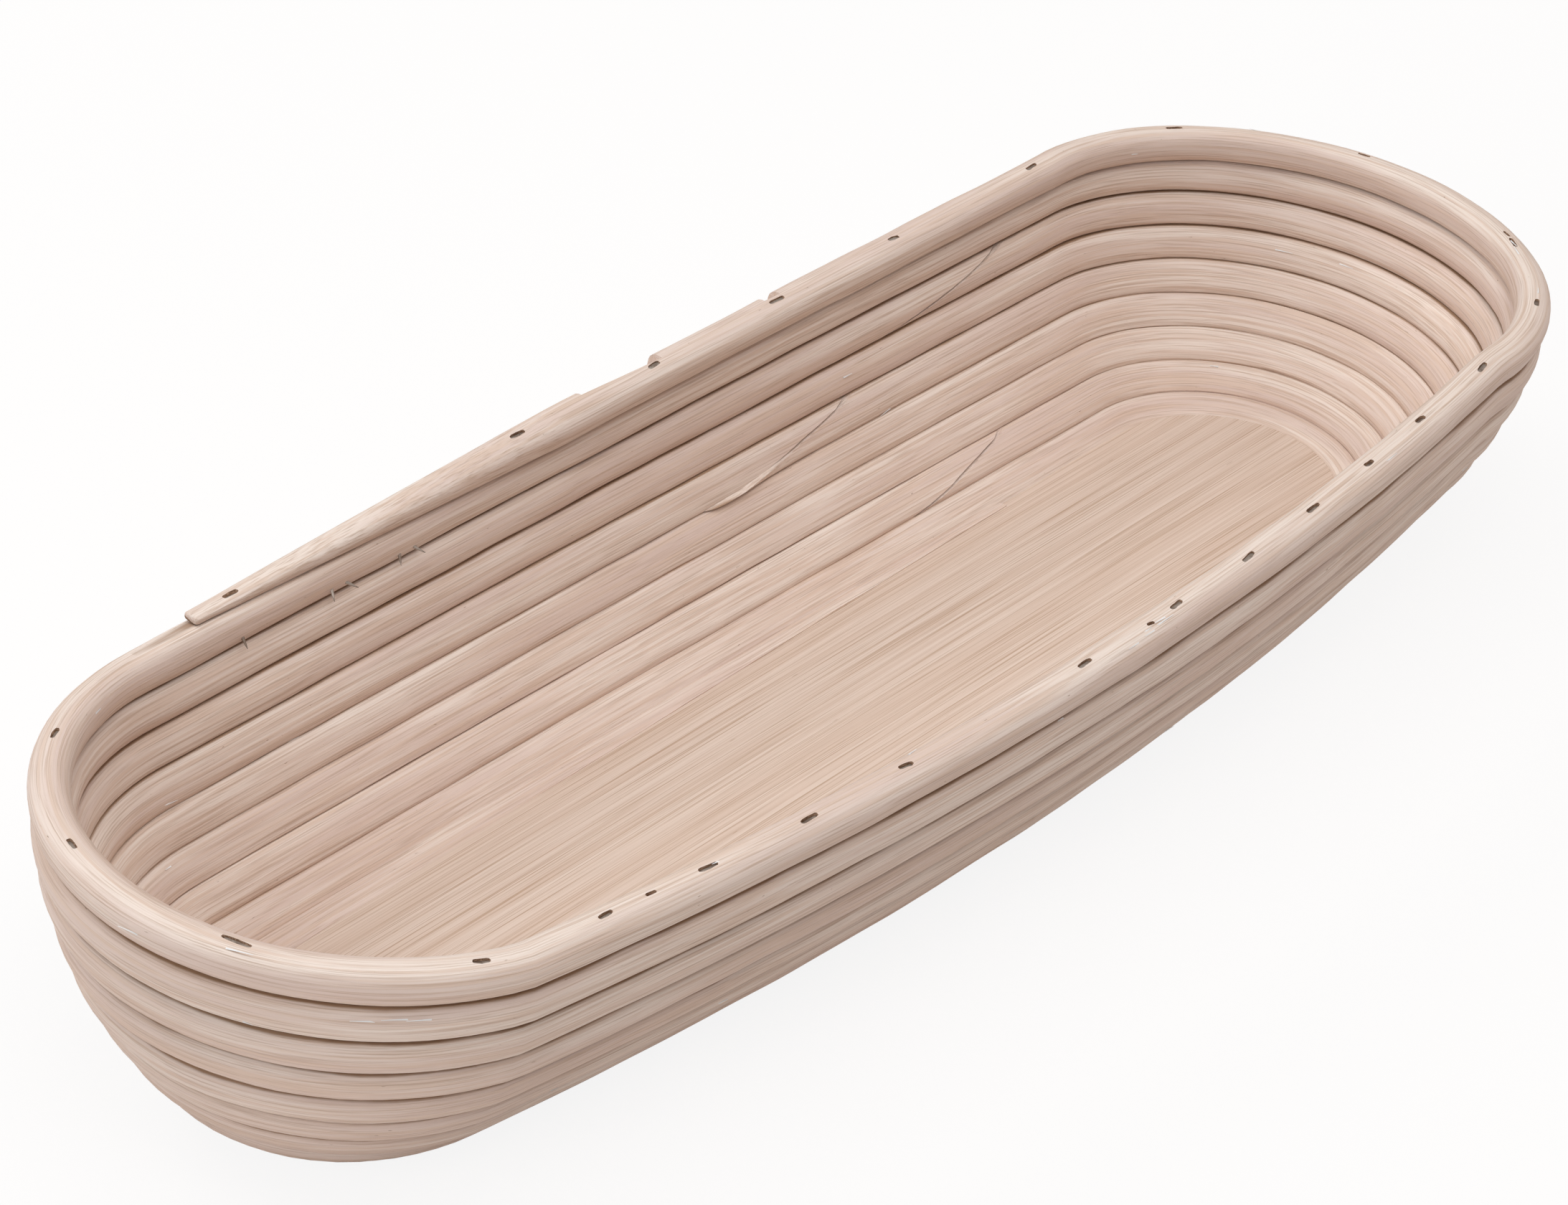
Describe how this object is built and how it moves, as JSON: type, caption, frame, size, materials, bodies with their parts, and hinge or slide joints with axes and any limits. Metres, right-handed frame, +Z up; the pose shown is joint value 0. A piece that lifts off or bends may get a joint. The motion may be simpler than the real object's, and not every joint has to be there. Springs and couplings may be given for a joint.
{
  "type": "proofing basket",
  "caption": "Long oval proofing basket: round cane wound in a spiral around a flat wooden base board and stapled course to course; holds bread dough while it rises.",
  "frame": {"origin": "under the middle of the basket, on the surface that the base board stands on", "axes": "+X along the basket, +Y towards the straighter long side, +Z up"},
  "size_m": [0.432, 0.1496, 0.0759],
  "materials": {
    "board": "matte sanded board",
    "cane": "matte peeled cane",
    "staple": "galvanised wire"
  },
  "bodies": {
    "root": {"base_board": "board", "first_cane": "cane", "second_cane": "cane", "third_cane": "cane", "rim_cane": "cane", "board_staples": "staple", "course_2_staples": "staple", "course_3_staples": "staple", "course_4_staples": "staple", "course_5_staples": "staple", "course_6_staples": "staple", "course_7_staples": "staple", "course_8_staples": "staple", "rim_staples": "staple"}
  },
  "joints": []
}
